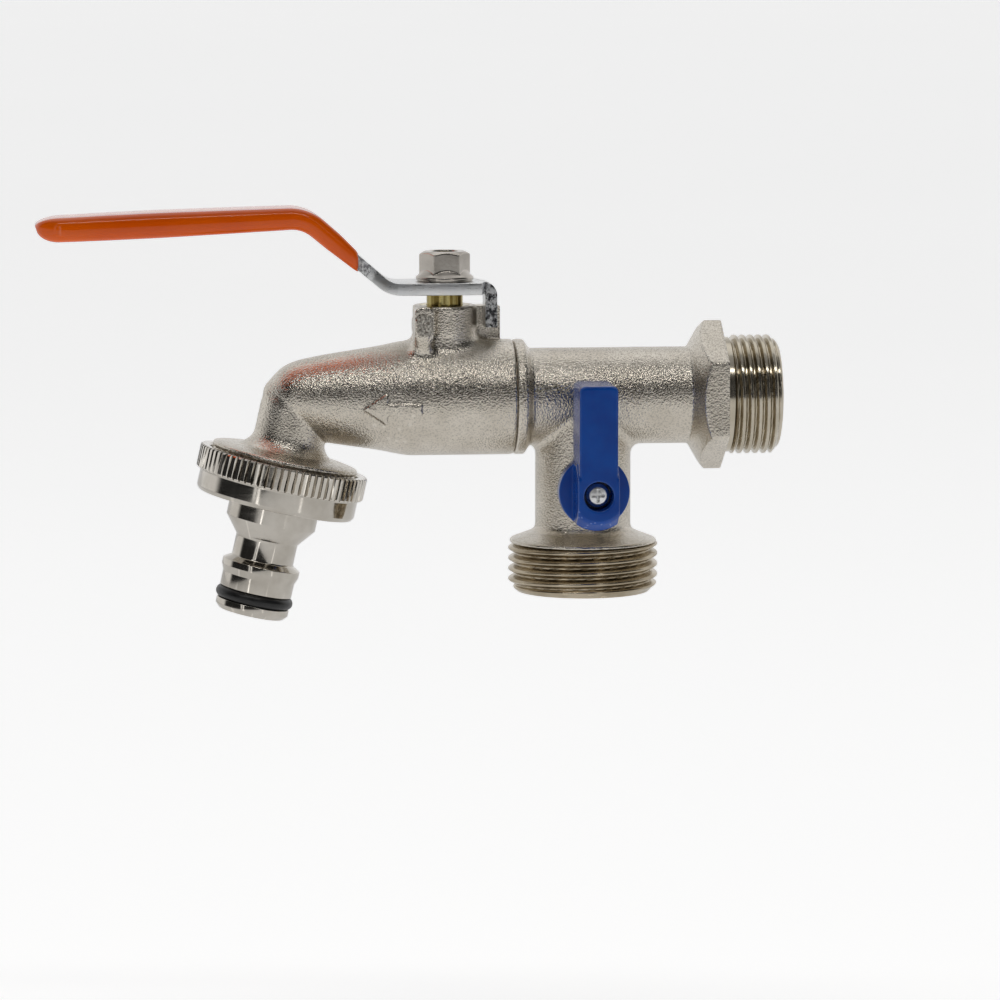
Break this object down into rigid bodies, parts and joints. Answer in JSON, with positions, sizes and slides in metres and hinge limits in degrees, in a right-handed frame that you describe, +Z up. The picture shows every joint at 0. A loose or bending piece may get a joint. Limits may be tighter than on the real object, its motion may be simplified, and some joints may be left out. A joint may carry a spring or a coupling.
{
  "type": "hose bib",
  "caption": "Wall-mounted garden tap with a lever ball valve on an angled spout, a threaded side branch with its own small lever valve, and a click-on hose connector.",
  "frame": {"origin": "centre of the flat wall-side face of the hex, where the inlet thread starts", "axes": "+X along the inlet axis towards the wall, +Z up, -Y towards the person using the tap"},
  "size_m": [0.1641, 0.0488, 0.0917],
  "materials": {
    "nickel_casting": "satin nickel plate over sand-cast brass",
    "polished_nickel": "bright nickel plate over turned brass",
    "bare_brass": "turned, unplated",
    "chromed_ball": "hard chrome, polished",
    "zinc_steel": "bright zinc plate",
    "orange_dip": "glossy dipped vinyl",
    "blue_paint": "semi-gloss enamel over cast aluminium",
    "ptfe": "smooth",
    "black_rubber": "satin",
    "plated_nut": "nickel plate"
  },
  "bodies": {
    "tap_body": {"tee_body": "nickel_casting", "spout_body": "nickel_casting", "joint_seal_ring": "ptfe", "main_seat_front": "ptfe", "main_seat_rear": "ptfe", "main_stem_packing": "ptfe", "main_gland_nut": "bare_brass", "branch_seat_upper": "ptfe", "branch_seat_lower": "ptfe", "branch_retainer": "bare_brass", "hose_connector": "polished_nickel", "connector_washer": "black_rubber", "nipple_o_ring": "black_rubber"},
    "main_handle": {"main_lever": "zinc_steel", "lever_grip": "orange_dip", "lever_nut": "plated_nut", "main_stem": "bare_brass", "main_stem_thrust_washer": "ptfe", "main_stem_o_ring": "black_rubber"},
    "main_valve_ball": {"main_ball": "chromed_ball"},
    "branch_handle": {"branch_lever": "blue_paint", "branch_lever_screw": "zinc_steel", "branch_screw_spring_washer": "zinc_steel", "branch_stem": "bare_brass", "branch_stem_o_rings": "black_rubber"},
    "branch_valve_ball": {"branch_ball": "chromed_ball"}
  },
  "joints": [
    {"name": "main_lever_turn", "type": "hinge", "parent": "tap_body", "child": "main_handle", "pos_m": [-0.0617, 0, 0], "axis": [0, 0, -1], "range_deg": [0, 90]},
    {"name": "main_ball_turn", "type": "hinge", "parent": "tap_body", "child": "main_valve_ball", "pos_m": [-0.0617, 0, 0], "axis": [0, 0, -1], "range_deg": [0, 90]},
    {"name": "branch_lever_turn", "type": "hinge", "parent": "tap_body", "child": "branch_handle", "pos_m": [-0.0309, 0, -0.019], "axis": [0, 1, 0], "range_deg": [0, 90]},
    {"name": "branch_ball_turn", "type": "hinge", "parent": "tap_body", "child": "branch_valve_ball", "pos_m": [-0.0309, 0, -0.019], "axis": [0, 1, 0], "range_deg": [0, 90]}
  ],
  "couplings": [
    {"joint": "main_ball_turn", "follows": "main_lever_turn", "ratio": 1},
    {"joint": "branch_ball_turn", "follows": "branch_lever_turn", "ratio": 1}
  ]
}
